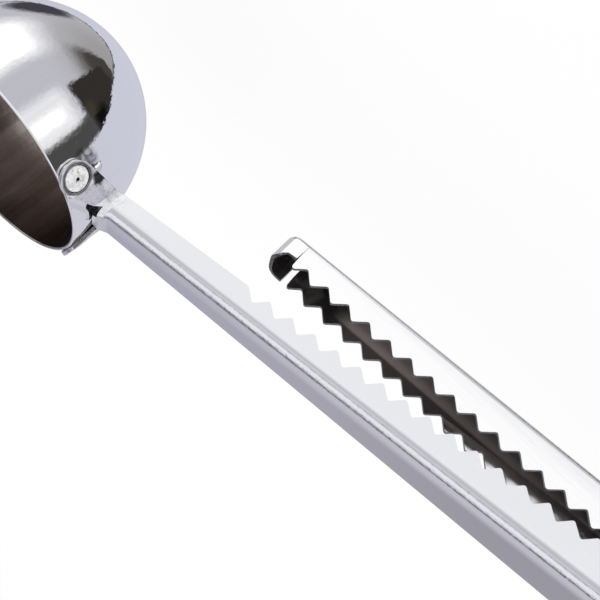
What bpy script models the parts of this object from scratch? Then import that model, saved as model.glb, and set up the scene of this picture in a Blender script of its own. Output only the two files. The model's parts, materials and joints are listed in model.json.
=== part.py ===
"""Coffee scoop whose handle is a spring clip. Metres, +Z towards the bowl's mouth, +X along the handle."""

import bpy
import bmesh
import math
from mathutils import Vector

MM = 0.001

# Named sizes, in mm and degrees. The scoop's own frame starts at the centre of the rim.
SHEET = 0.7
CLEAR = 0.3

BOWL_RADIUS = 22.0
BOWL_WALL = 0.6
BOWL_STRAIGHT = 5.5
BOWL_DOME = 24.1

HANDLE_START_X = 25.0
HANDLE_DROP = 4.7
HANDLE_SLOPE = 4.99
HANDLE_HALF_WIDTH = 3.45
HANDLE_TAPER = 0.0325
HANDLE_BEND = 1.6
HANDLE_END_X = 170.0
HANDLE_FLANGE_END = 3.2
HANDLE_END_ROUND = 6.5
HANDLE_CHIN = 0.5
HANDLE_LIFT = 1.4
HANDLE_LIFT_RUN = 3.2

TEETH_DROP = 9.38
TEETH_SLOPE = 7.305
TOOTH_PITCH = 4.583
TOOTH_DEPTH = 2.15
TOOTH_ROUND = 0.4
HANDLE_TEETH = 17
FIRST_TOOTH = 25.6
JAW_SHIFT = 0.1

FLARE_RADIUS = 1.2
FLARE_JOIN = 1.2
FLARE_STEPS = 3
FLARE_RISE = 0.0
ARM_RISE = ((0.35, 0.10), (0.7, 0.19), (1.0, 0.27))
EAR_GAP = 0.2
EAR_AZIMUTH = 29.3
EAR_RADIUS = 3.15
EAR_DROP = 2.75
WELD_RADIUS = 2.3
WELD_GAP = 0.15
WELD_CROWN = 0.12

JAW_FRONT = 27.6
JAW_DEPTH = 5.3
JAW_DEPTH_TAPER = 0.0286
JAW_HALF_WIDTH = 3.2
JAW_TAPER = 0.0242
JAW_BEND = 1.3
JAW_TEETH = 16
JAW_OPEN = 5.64
JAW_LIP = 2.1
NOSE_NOTCH = 0.4
NOSE_FAR_NOTCH = 1.2
NOSE_REACH = 4.2
NOSE_HEIGHT = 5.65
NOSE_NEAR_HEIGHT = 3.9
NOSE_SQUARE = 5.0

TAIL_START = 112.0
TAIL_ANGLE = 9.0
TAIL_ROUND = 45.0
TAIL_END = 142.0
TAIL_FLANGE = 3.4
TAIL_END_ROUND = 5.0

PIVOT_ALONG = 105.36
PIVOT_ABOVE = 3.91
PIVOT_EAR = 3.3
PIN_RADIUS = 1.3
PIN_HEAD_RADIUS = 2.5
PIN_HEAD = 1.0

WIRE_RADIUS = 0.45
COIL_RADIUS = 2.4
COIL_PITCH = 1.5
COIL_TURNS = 3
COIL_POINTS = 10
LEG_LENGTH = 15.0

RIM_SIDES = 72
DOME_STEPS = 12
BEND_STEPS = 5


def web_z(x):
    """Height of the handle's outer web at x."""
    return -HANDLE_DROP - math.tan(math.radians(HANDLE_SLOPE)) * (x - HANDLE_START_X)


def raised_web(x):
    """The web's height with its rise towards the bowl."""
    run = max(1 - (x - BOWL_RADIUS) / HANDLE_LIFT_RUN, 0)
    return web_z(x) + HANDLE_LIFT * run ** 1.2


def flare_centre():
    """Plan centre of the arc that turns a flange's outer face out to the ear on the bowl."""
    hug = BOWL_RADIUS + EAR_GAP + SHEET
    cx = hug
    for _ in range(12):
        cy = HANDLE_HALF_WIDTH + HANDLE_TAPER * (cx - HANDLE_START_X) + FLARE_RADIUS
        cx = math.sqrt((hug + FLARE_RADIUS) ** 2 - cy ** 2)
    return cx, cy


def flare_join():
    """x where the arm takes over from the flange, within the flare."""
    return BOWL_RADIUS + FLARE_JOIN


def handle_half(x, depth=0.0):
    """Half the handle's width at x, depth inside its outer face, with the flare at the bowl."""
    cx, cy = flare_centre()
    if x >= cx:
        return HANDLE_HALF_WIDTH + HANDLE_TAPER * (x - HANDLE_START_X) - depth
    return cy - math.sqrt((FLARE_RADIUS + depth) ** 2 - (cx - x) ** 2)


def line_point(u, v):
    """(x, z) of a point u along the closed teeth line and v below it."""
    a = math.radians(TEETH_SLOPE)
    x = HANDLE_START_X + u * math.cos(a) - v * math.sin(a)
    z = -TEETH_DROP - u * math.sin(a) - v * math.cos(a)
    return x, z


def line_place(x, z):
    """(u, v) of a point of the scoop's frame."""
    a = math.radians(TEETH_SLOPE)
    dx = x - HANDLE_START_X
    dz = z + TEETH_DROP
    return dx * math.cos(a) - dz * math.sin(a), -dx * math.sin(a) - dz * math.cos(a)


def pivot():
    return line_point(PIVOT_ALONG, -PIVOT_ABOVE)


def opened(x, z):
    """A jaw point turned about the pivot from the closed place to the photographed one."""
    px, pz = pivot()
    a = math.radians(JAW_OPEN)
    dx = x - px
    dz = z - pz
    return px + dx * math.cos(a) - dz * math.sin(a), pz + dx * math.sin(a) + dz * math.cos(a)


def jaw_half(u, depth=0.0):
    return JAW_HALF_WIDTH + JAW_TAPER * u - depth


def rounded(points, radius, steps=2):
    """The same open outline with each inner corner replaced by a short arc."""
    out = [points[0]]
    for i in range(1, len(points) - 1):
        p = Vector(points[i])
        a = Vector(points[i - 1]) - p
        b = Vector(points[i + 1]) - p
        half = a.angle(b) / 2
        back = min(radius / math.tan(half), a.length * 0.45, b.length * 0.45)
        true_radius = back * math.tan(half)
        middle = p + (a.normalized() + b.normalized()).normalized() * (true_radius / math.sin(half))
        first = p + a.normalized() * back - middle
        last = p + b.normalized() * back - middle
        turn = first.angle_signed(last)
        for k in range(steps + 1):
            t = -turn * k / steps
            c = math.cos(t)
            s = math.sin(t)
            out.append((middle.x + c * first.x - s * first.y, middle.y + s * first.x + c * first.y))
    out.append(points[-1])
    return out


def tooth_row(first, count, side):
    """Corner points (u, v) of a zigzag row: tips on v = 0, valleys on the sheet's side of it."""
    loss = TOOTH_ROUND * (1 / math.sin(math.atan(TOOTH_PITCH / 2 / TOOTH_DEPTH)) - 1)
    out = [(first - TOOTH_PITCH / 2, side * (TOOTH_DEPTH - loss))]
    for k in range(count):
        out.append((first + TOOTH_PITCH * k, -side * loss))
        out.append((first + TOOTH_PITCH * (k + 0.5), side * (TOOTH_DEPTH - loss)))
    return out


def new_object(name, mesh_maker, material):
    bm = bmesh.new()
    mesh_maker(bm)
    bmesh.ops.remove_doubles(bm, verts=bm.verts, dist=0.000001)
    bmesh.ops.recalc_face_normals(bm, faces=bm.faces)
    mesh = bpy.data.meshes.new(name)
    bm.to_mesh(mesh)
    bm.free()
    if material:
        mesh.materials.append(material)
    return bpy.data.objects.new(name, mesh)


def face(bm, points):
    """One face from points in mm, with repeated neighbours left out."""
    kept = []
    for p in points:
        q = Vector(p) * MM
        if not kept or (q - kept[-1]).length > 0.000001:
            kept.append(q)
    if (kept[0] - kept[-1]).length < 0.000001:
        kept.pop()
    if len(kept) > 2:
        bm.faces.new([bm.verts.new(q) for q in kept])


def lathe(bm, profile, sides, place):
    """Solid of revolution about local Z. profile runs from axis to axis as (radius, height)."""
    rings = []
    for r, z in profile:
        if r < 0.0001:
            rings.append([place(0, 0, z)] * sides)
        else:
            rings.append([
                place(r * math.cos(2 * math.pi * k / sides), r * math.sin(2 * math.pi * k / sides), z)
                for k in range(sides)
            ])
    for a, b in zip(rings, rings[1:]):
        for k in range(sides):
            n = (k + 1) % sides
            face(bm, (a[k], a[n], b[n], b[k]))


def make_bowl(material):
    inner = BOWL_RADIUS - BOWL_WALL
    lip = BOWL_WALL * 0.3
    profile = []
    for k in range(DOME_STEPS + 1):
        t = math.pi / 2 * (1 - k / DOME_STEPS)
        profile.append((BOWL_RADIUS * math.cos(t), -BOWL_STRAIGHT - BOWL_DOME * math.sin(t)))
    profile += [(BOWL_RADIUS, -lip), (BOWL_RADIUS - lip, 0), (inner + lip, 0), (inner, -lip)]
    for k in range(DOME_STEPS + 1):
        t = math.pi / 2 * k / DOME_STEPS
        profile.append((inner * math.cos(t), -BOWL_STRAIGHT - (BOWL_DOME - BOWL_WALL) * math.sin(t)))
    profile[0] = (0, profile[0][1])
    profile[-1] = (0, profile[-1][1])

    def build(bm):
        lathe(bm, profile, RIM_SIDES, lambda x, y, z: (x, y, z))

    return new_object("bowl", build, material)


def channel(bm, stations, half, bend, front, rear, edge, place, open_front=0.0, flared=0, nose=False):
    """Bent sheet of U section.

    stations are (a, b, na, nb): a point of the outer web line and the way into the channel.
    half(a) is the outer half width, front and rear are (shift, share of half the flat web)
    outlines of the web's ends, edge is the flange's free outline from front to rear, and place
    turns (a, y, b) into the scoop's frame. open_front leaves out the wall between the edge's
    first two points, where an arm joins on, and is how far its inner side runs ahead. flared is
    how many of the stations lie in the flare, and nose turns a wall up along the front outline.
    """
    arcs = [math.pi / 2 * k / BEND_STEPS for k in range(BEND_STEPS + 1)]

    def section(station, inner, side):
        a, b, na, nb = station
        radius = bend - (SHEET if inner else 0)
        start = SHEET if inner else 0
        out = []
        for t in arcs:
            depth = start + radius * (1 - math.cos(t))
            pa = a + na * depth
            inset = start + radius * (1 - math.sin(t))
            out.append((pa, side * half(pa, inset), b + nb * depth))
        return out

    def end_curve(points, station, inner):
        a, b, na, nb = station
        depth = SHEET if inner else 0
        out = []
        for shift, share in points:
            pa = a - shift * nb + na * depth
            pb = b + shift * na + nb * depth
            flat = half(a + na * depth, bend)
            out.append((pa, share * flat, pb))
        return out

    def free_edge(inner, side):
        out = []
        for k, (a, b) in enumerate(edge):
            if inner and k < 2:
                a -= open_front
            out.append((a, side * half(a, SHEET if inner else 0.0), b))
        return out

    loops = []
    for inner in (False, True):
        near = [section(s, inner, 1) for s in stations]
        far = [section(s, inner, -1) for s in stations]
        first = end_curve(front, stations[0], inner)
        last = end_curve(rear, stations[-1], inner)
        count = len(stations)
        for i in range(count - 1):
            web = [far[i][0]]
            if i == 0:
                web += first
            web += [near[i][0], near[i + 1][0]]
            if i == count - 2:
                web += last
            web += [far[i + 1][0]]
            face(bm, [place(*p) for p in web])
            for rows in (near, far):
                for k in range(BEND_STEPS):
                    quad = (rows[i][k], rows[i][k + 1], rows[i + 1][k + 1], rows[i + 1][k])
                    face(bm, [place(*p) for p in quad])
        for side, rows in ((1, near), (-1, far)):
            free = free_edge(inner, side)
            for i in range(flared):
                strip = [rows[i][-1], rows[i + 1][-1], free[i + 2], free[i + 1]]
                if i == 0:
                    strip.append(free[0])
                face(bm, [place(*p) for p in strip])
            skip = flared + 1 if flared else 0
            flange = [row[-1] for row in rows[flared:]] + list(reversed(free[skip:]))
            face(bm, [place(*p) for p in flange])
        loop = list(first) + near[0] + free_edge(inner, 1) + list(reversed(near[-1])) + list(last)
        loop += far[-1] + list(reversed(free_edge(inner, -1))) + list(reversed(far[0]))
        loops.append([place(*p) for p in loop])
    outer, inside = loops
    arm_walls = set()
    if open_front:
        arm_walls.add(len(front) + BEND_STEPS + 1)
        arm_walls.add(len(outer) - (BEND_STEPS + 1) - 2)
    if nose:
        arm_walls.update(range(1, len(front) - 2))
        columns = nose_columns(front, stations[0], half, bend, place)
        for (oa, ia), (ob, ib) in zip(columns, columns[1:]):
            for k in range(len(oa) - 1):
                face(bm, (oa[k], ob[k], ob[k + 1], oa[k + 1]))
                face(bm, (ia[k], ib[k], ib[k + 1], ia[k + 1]))
            face(bm, (oa[-1], ob[-1], ib[-1], ia[-1]))
        for outward, inward in (columns[0], columns[-1]):
            for k in range(len(outward) - 1):
                face(bm, (outward[k], outward[k + 1], inward[k + 1], inward[k]))
    for k in range(len(outer)):
        n = (k + 1) % len(outer)
        if k not in arm_walls:
            face(bm, (outer[k], outer[n], inside[n], inside[k]))


def nose_columns(front, station, half, bend, place):
    """Outer and inner columns of the wall turned up along the front outline's own points."""
    a, b, na, nb = station
    flat = half(a) - bend
    plan = [(-shift, share * flat) for shift, share in front]
    columns = []
    for j in range(1, len(plan) - 1):
        if j == 1:
            turn = -math.pi / 2
        elif j == len(plan) - 2:
            turn = math.pi / 2
        else:
            turn = math.atan2(plan[j - 1][0] - plan[j + 1][0], plan[j + 1][1] - plan[j - 1][1])
        forward, y = plan[j]
        ease = min(max(turn / (math.pi / 4) - 1, 0.0), 1.0)
        height = NOSE_HEIGHT + (NOSE_NEAR_HEIGHT - NOSE_HEIGHT) * ease
        pair = []
        for inner in (False, True):
            radius = bend - (SHEET if inner else 0)
            rows = []
            for k in range(5):
                t = math.pi / 2 * k / 4
                rows.append((radius * math.sin(t), bend - radius * math.cos(t)))
            rows.append((radius, height))
            column = []
            for out, depth in rows:
                ahead = forward + out * math.cos(turn)
                column.append(place(a + nb * ahead + na * depth, y + out * math.sin(turn), b - na * ahead + nb * depth))
            pair.append(column)
        columns.append(tuple(pair))
    return columns


def arm_path():
    """Plan stations of an arm: (length, x, y, outward x, outward y) from the join round the flare."""
    cx, cy = flare_centre()
    swing = math.atan2(cy, cx)
    first = math.asin((cx - flare_join()) / FLARE_RADIUS)
    steps = 5
    turn = math.pi / 2 - swing - first
    mean = FLARE_RADIUS + SHEET / 2
    out = []
    for k in range(steps + 1):
        t = -math.pi / 2 - first - turn * k / steps
        out.append((
            mean * turn * k / steps,
            cx + FLARE_RADIUS * math.cos(t),
            cy + FLARE_RADIUS * math.sin(t),
            -math.cos(t),
            -math.sin(t),
        ))
    return out, mean * turn, swing


def handle_front():
    """x of the web's front station and the height where its bend meets the flange."""
    slope = math.radians(HANDLE_SLOPE)
    x = flare_join() + HANDLE_BEND * math.sin(slope)
    return x, raised_web(x) - HANDLE_BEND * math.cos(slope)


def chin(x):
    """Height of the flange's free edge at x, ahead of the teeth."""
    u = (x - HANDLE_START_X) / math.cos(math.radians(TEETH_SLOPE))
    end = flare_centre()[0]
    share = max((end - x) / (end - flare_join()), 0)
    return line_point(u, HANDLE_CHIN)[1] + FLARE_RISE * share


def arm_stations():
    """Arm stations with the sheet's top and bottom heights."""
    bend, length, swing = arm_path()
    hug = BOWL_RADIUS + EAR_GAP + SHEET
    mean = hug - SHEET / 2
    ear_s = length + mean * (math.radians(EAR_AZIMUTH) - swing)
    flat_top = handle_front()[1]
    low = chin(flare_join())
    rise = [(0.0, flat_top)]
    for share, height in ARM_RISE:
        rise.append((length * share, flat_top * (1 - height)))

    def tangent(start, side):
        """Where a line from start touches the ear's circle, above (side 1) or below it (side -1)."""
        dx = ear_s - start[0]
        dz = -EAR_DROP - start[1]
        reach = math.hypot(dx, dz)
        lean = math.atan2(dz, dx) + side * math.asin(EAR_RADIUS / reach)
        run = math.sqrt(reach ** 2 - EAR_RADIUS ** 2)
        return start[0] + run * math.cos(lean), start[1] + run * math.sin(lean)

    top_touch = tangent(rise[-1], 1)
    low_touch = tangent((0.0, low), -1)

    def top(s):
        if s >= top_touch[0]:
            return -EAR_DROP + math.sqrt(max(EAR_RADIUS ** 2 - (s - ear_s) ** 2, 0.09))
        points = rise + [top_touch]
        for (s0, z0), (s1, z1) in zip(points, points[1:]):
            if s <= s1:
                return z0 + (z1 - z0) * (s - s0) / (s1 - s0)
        return top_touch[1]

    def bottom(s):
        if s >= low_touch[0]:
            return -EAR_DROP - math.sqrt(max(EAR_RADIUS ** 2 - (s - ear_s) ** 2, 0.09))
        return low + (low_touch[1] - low) * s / low_touch[0]

    where = [row[0] for row in bend]
    where += [s for s in (top_touch[0], low_touch[0]) if s > length]
    where += [ear_s + EAR_RADIUS * math.sin(math.radians(t)) for t in range(-60, 90, 15)]
    where += [ear_s + EAR_RADIUS * 0.995]
    where = sorted(s for s in where if s > length + 0.05)
    kept = []
    for s in where:
        if not kept or s - kept[-1] > 0.15:
            kept.append(s)
    out = []
    for s, x, y, nx, ny in bend:
        out.append((x, y, nx, ny, top(s), bottom(s)))
    for s in kept:
        t = swing + (s - length) / mean
        out.append((hug * math.cos(t), hug * math.sin(t), math.cos(t), math.sin(t), top(s), bottom(s)))
    return out


def add_arm(bm, side):
    """A flared arm and ear, joined to the flange's open front edge."""
    rows = []
    for x, y, nx, ny, high, low in arm_stations():
        ix = x - nx * SHEET
        iy = y - ny * SHEET
        rows.append(((x, side * y, high), (x, side * y, low), (ix, side * iy, low), (ix, side * iy, high)))
    for a, b in zip(rows, rows[1:]):
        for k in range(4):
            n = (k + 1) % 4
            face(bm, (a[k], a[n], b[n], b[k]))
    face(bm, rows[-1])


def make_handle(material):
    slope = math.radians(HANDLE_SLOPE)
    start_x = flare_join()
    front_x, flat_top = handle_front()
    flare_end = flare_centre()[0]
    rear_x = HANDLE_END_X - HANDLE_END_ROUND

    def station(x):
        return (x, raised_web(x), -math.sin(slope), -math.cos(slope))

    row = tooth_row(FIRST_TOOTH, HANDLE_TEETH, -1)
    row[0] = ((flare_end - HANDLE_START_X) / math.cos(math.radians(TEETH_SLOPE)), HANDLE_CHIN)
    row.append((FIRST_TOOTH + TOOTH_PITCH * HANDLE_TEETH, 0.0))
    row.append((PIVOT_ALONG + PIVOT_EAR * 1.5, 0.0))
    points = [line_point(u, v) for u, v in rounded(row, TOOTH_ROUND)]
    flare = [start_x + (flare_end - start_x) * k / FLARE_STEPS for k in range(FLARE_STEPS + 1)]
    points[0] = (flare_end, chin(flare_end))
    points = [(start_x, flat_top)] + [(x, chin(x)) for x in flare[:-1]] + points
    points.append((rear_x - HANDLE_BEND * 0.2, web_z(rear_x) - HANDLE_FLANGE_END))
    front = [(-0.9, -0.8), (-1.0, 0.0), (-0.9, 0.8)]
    rear = [(HANDLE_END_ROUND * math.sin(math.pi * k / 12), math.cos(math.pi * k / 12)) for k in range(1, 12)]

    def build(bm):
        lift_end = BOWL_RADIUS + HANDLE_LIFT_RUN
        where = [x + front_x - start_x for x in flare]
        where += [where[-1] + (lift_end - where[-1]) * k / 4 for k in range(1, 5)]
        inner_ahead = SHEET * (flare_end - start_x) / FLARE_RADIUS
        channel(
            bm, [station(x) for x in where + [rear_x]], handle_half, HANDLE_BEND, front, rear, points,
            lambda a, y, b: (a, y, b), open_front=inner_ahead, flared=FLARE_STEPS,
        )
        add_arm(bm, 1)
        add_arm(bm, -1)

    return new_object("handle_channel", build, material)


def jaw_web(u):
    """v of the jaw's outer web at u, with the tail's bend."""
    lean = math.atan(JAW_DEPTH_TAPER)
    if u <= TAIL_START:
        return JAW_DEPTH + JAW_DEPTH_TAPER * u
    full = lean + math.radians(TAIL_ANGLE)
    cu = TAIL_START - TAIL_ROUND * math.sin(lean)
    cv = JAW_DEPTH + JAW_DEPTH_TAPER * TAIL_START + TAIL_ROUND * math.cos(lean)
    last_u = cu + TAIL_ROUND * math.sin(full)
    if u <= last_u:
        return cv - math.sqrt(TAIL_ROUND ** 2 - (u - cu) ** 2)
    return cv - TAIL_ROUND * math.cos(full) + (u - last_u) * math.tan(full)


def jaw_stations():
    lean = math.atan(JAW_DEPTH_TAPER)
    full = lean + math.radians(TAIL_ANGLE)
    cu = TAIL_START - TAIL_ROUND * math.sin(lean)
    out = [(JAW_FRONT, jaw_web(JAW_FRONT), math.sin(lean), -math.cos(lean))]
    for k in range(4):
        t = lean + (full - lean) * k / 3
        u = cu + TAIL_ROUND * math.sin(t)
        out.append((u, jaw_web(u), math.sin(t), -math.cos(t)))
    u = TAIL_END - TAIL_END_ROUND
    out.append((u, jaw_web(u), math.sin(full), -math.cos(full)))
    return out


def ear_outline():
    """Jaw flange outline over the pivot, from the last valley to the tail."""
    pu = PIVOT_ALONG
    pv = -PIVOT_ABOVE
    loss = TOOTH_ROUND * (1 / math.sin(math.atan(TOOTH_PITCH / 2 / TOOTH_DEPTH)) - 1)
    start = (FIRST_TOOTH + TOOTH_PITCH * (JAW_TEETH + 0.25), TOOTH_DEPTH - loss)
    stop = (TAIL_START + TAIL_ROUND * 0.25, jaw_web(TAIL_START + TAIL_ROUND * 0.25) - TAIL_FLANGE)

    def touch(point, side):
        du = pu - point[0]
        dv = pv - point[1]
        reach = math.hypot(du, dv)
        lean = math.atan2(dv, du) + side * math.asin(PIVOT_EAR / reach)
        run = math.sqrt(reach ** 2 - PIVOT_EAR ** 2)
        return point[0] + run * math.cos(lean), point[1] + run * math.sin(lean)

    a = touch(start, -1)
    b = touch(stop, 1)
    first = math.atan2(a[1] - pv, a[0] - pu)
    last = math.atan2(b[1] - pv, b[0] - pu)
    while last < first:
        last += 2 * math.pi
    out = [start]
    for k in range(9):
        t = first + (last - first) * k / 8
        out.append((pu + PIVOT_EAR * math.cos(t), pv + PIVOT_EAR * math.sin(t)))
    out.append(stop)
    return out


def nose_front(u0):
    """(shift, share) outline of the web's front inside the nose's bend, from far to near."""
    flat = jaw_half(u0) - JAW_BEND
    run = NOSE_REACH - JAW_BEND
    out = [(0.0, -1.0)]
    for k in range(13):
        t = math.pi * k / 12
        ahead = math.sin(t) ** (2 / NOSE_SQUARE)
        across = math.copysign(abs(math.cos(t)) ** (2 / NOSE_SQUARE), -math.cos(t))
        notch = NOSE_FAR_NOTCH + (NOSE_NOTCH - NOSE_FAR_NOTCH) * k / 12
        out.append((-notch - (run - notch) * ahead, across))
    out.append((0.0, 1.0))
    return out


def make_jaw(material):
    stations = jaw_stations()
    u0, v0, nu, nv = stations[0]
    lip_v = jaw_web(u0) - JAW_BEND - 0.5
    row = [(u0 + 0.02, lip_v), (u0 + 0.1, JAW_LIP + 0.5)]
    row += tooth_row(FIRST_TOOTH + TOOTH_PITCH / 2 + JAW_SHIFT, JAW_TEETH, 1)[1:]
    row = rounded(row, TOOTH_ROUND) + ear_outline()
    row.insert(0, (u0 + nu * JAW_BEND, v0 + nv * JAW_BEND))
    ul, vl, nul, nvl = stations[-1]
    row.append((ul + nul * (JAW_BEND + 0.4), vl + nvl * (JAW_BEND + 0.4)))
    rear = [(TAIL_END_ROUND * math.sin(math.pi * k / 12), math.cos(math.pi * k / 12)) for k in range(1, 12)]

    def place(a, y, b):
        x, z = opened(*line_point(a, b))
        return x, y, z

    def build(bm):
        channel(bm, stations, jaw_half, JAW_BEND, nose_front(u0), rear, row, place, nose=True)

    return new_object("clip_jaw", build, material)


def make_pin(material):
    px, pz = pivot()
    reach = handle_half(px) + CLEAR + HANDLE_TAPER * PIN_HEAD_RADIUS
    half = [
        (0, reach + PIN_HEAD), (PIN_HEAD_RADIUS * 0.55, reach + PIN_HEAD * 0.9),
        (PIN_HEAD_RADIUS * 0.88, reach + PIN_HEAD * 0.6), (PIN_HEAD_RADIUS, reach + PIN_HEAD * 0.25),
        (PIN_HEAD_RADIUS, reach), (PIN_RADIUS, reach),
    ]
    profile = [(r, -y) for r, y in half] + [(r, y) for r, y in reversed(half)]

    def build(bm):
        lathe(bm, profile, 32, lambda x, y, z: (px + x, z, pz + y))

    return new_object("pivot_pin", build, material)


def weld_place(side):
    """Turns (across, up, outward from the bowl's wall) at a weld into the scoop's frame."""
    t = math.radians(EAR_AZIMUTH)
    out = Vector((math.cos(t), side * math.sin(t), 0))
    across = Vector((-side * math.sin(t), math.cos(t), 0))
    middle = out * BOWL_RADIUS + Vector((0, 0, -EAR_DROP))
    return lambda x, y, z: middle + across * x + Vector((0, 0, y)) + out * z


def make_weld(name, side, material):
    """A spot weld's round plug, through the ear and just proud of it."""
    r = WELD_RADIUS
    face_z = EAR_GAP + SHEET
    profile = [
        (0, EAR_GAP), (r, EAR_GAP), (r, face_z - WELD_CROWN), (r * 0.93, face_z - WELD_CROWN / 3),
        (r * 0.75, face_z + WELD_CROWN / 2), (r * 0.4, face_z + WELD_CROWN), (0, face_z + WELD_CROWN),
    ]

    def build(bm):
        lathe(bm, profile, 28, weld_place(side))

    return new_object(name, build, material)


def spring_points():
    """The wire's centre line: handle leg, coil, jaw leg."""
    px, pz = pivot()
    inset = CLEAR + WIRE_RADIUS
    lift = 0.0
    for _ in range(20):
        sx = px - COIL_RADIUS * math.sin(lift)
        sz = pz + COIL_RADIUS * math.cos(lift)
        ex = sx + LEG_LENGTH * math.cos(lift)
        slope = math.radians(HANDLE_SLOPE)
        want = web_z(ex) - (SHEET + inset) / math.cos(slope)
        lift += 0.6 * ((want - sz) / LEG_LENGTH - math.sin(lift))
    dive = 0.0
    low = 0.0
    high = math.radians(70)
    for _ in range(40):
        dive = (low + high) / 2
        bx = px - COIL_RADIUS * math.sin(dive)
        bz = pz - COIL_RADIUS * math.cos(dive)
        jx = bx + LEG_LENGTH * math.cos(dive)
        jz = bz - LEG_LENGTH * math.sin(dive)
        a = math.radians(-JAW_OPEN)
        dx = jx - px
        dz = jz - pz
        u, v = line_place(px + dx * math.cos(a) - dz * math.sin(a), pz + dx * math.sin(a) + dz * math.cos(a))
        lean = math.atan(JAW_DEPTH_TAPER) + math.radians(TAIL_ANGLE)
        if v > jaw_web(u) - (SHEET + inset) / math.cos(lean):
            high = dive
        else:
            low = dive
    first = math.pi / 2 + lift
    last = first + 2 * math.pi * COIL_TURNS + math.pi - lift - dive
    turns = (last - first) / (2 * math.pi)
    length = COIL_PITCH * turns
    steps = round(COIL_POINTS * turns)
    out = [(ex, -length / 2, sz + LEG_LENGTH * math.sin(lift))]
    for k in range(steps + 1):
        t = first + (last - first) * k / steps
        out.append((px + COIL_RADIUS * math.cos(t), -length / 2 + length * k / steps, pz + COIL_RADIUS * math.sin(t)))
    out.append((jx, length / 2, jz))
    return out


def spring_gap(points):
    """Least gap of the wire to itself, measured between points half a turn or more apart."""
    least = 1e9
    for i in range(len(points)):
        for j in range(i + COIL_POINTS // 2, len(points)):
            p = Vector(points[j - 1])
            q = Vector(points[j])
            line = q - p
            here = Vector(points[i])
            t = max(0.0, min(1.0, (here - p).dot(line) / line.length_squared))
            least = min(least, (here - p - line * t).length)
    return least - 2 * WIRE_RADIUS


def make_spring(material):
    points = spring_points()
    print("torsion_spring gap to itself, mm:", round(spring_gap(points), 3))
    curve = bpy.data.curves.new("torsion_spring_wire", "CURVE")
    curve.dimensions = "3D"
    curve.bevel_depth = WIRE_RADIUS * MM
    curve.bevel_resolution = 1
    curve.use_fill_caps = True
    spline = curve.splines.new("POLY")
    spline.points.add(len(points) - 1)
    for target, p in zip(spline.points, points):
        target.co = (p[0] * MM, p[1] * MM, p[2] * MM, 1)
    holder = bpy.data.objects.new("torsion_spring_wire", curve)
    bpy.context.scene.collection.objects.link(holder)
    depsgraph = bpy.context.evaluated_depsgraph_get()
    mesh = bpy.data.meshes.new_from_object(holder.evaluated_get(depsgraph))
    bpy.data.objects.remove(holder)
    bm = bmesh.new()
    bm.from_mesh(mesh)
    bmesh.ops.remove_doubles(bm, verts=bm.verts, dist=0.000001)
    bmesh.ops.recalc_face_normals(bm, faces=bm.faces)
    bm.to_mesh(mesh)
    bm.free()
    mesh.name = "torsion_spring"
    mesh.materials.clear()
    mesh.materials.append(material)
    return bpy.data.objects.new("torsion_spring", mesh)


def steel(name, colour, roughness):
    material = bpy.data.materials.new(name)
    material.use_nodes = True
    shader = material.node_tree.nodes["Principled BSDF"]
    shader.inputs["Base Color"].default_value = (*colour, 1)
    shader.inputs["Metallic"].default_value = 1.0
    shader.inputs["Roughness"].default_value = roughness
    material.diffuse_color = (*colour, 1)
    return material


def drill(obj, cutter):
    """A round hole through obj, cut by a cylinder kept in the cutters collection."""
    cut = obj.modifiers.new(cutter.name, "BOOLEAN")
    cut.operation = "DIFFERENCE"
    cut.solver = "EXACT"
    cut.object = cutter


def make_cutter(name, radius, start, stop, sides, place):
    """A cylinder from start to stop along its own axis, which place turns into the scoop's frame."""

    def build(bm):
        lathe(bm, [(0, start), (radius, start), (radius, stop), (0, stop)], sides, place)

    cutter = new_object(name, build, None)
    cutter.hide_render = True
    cutter.display_type = "WIRE"
    return cutter


def move_origin(obj, point):
    """Puts the object's own origin at point without moving its surface."""
    for vertex in obj.data.vertices:
        vertex.co -= point
    obj.location = point


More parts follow.
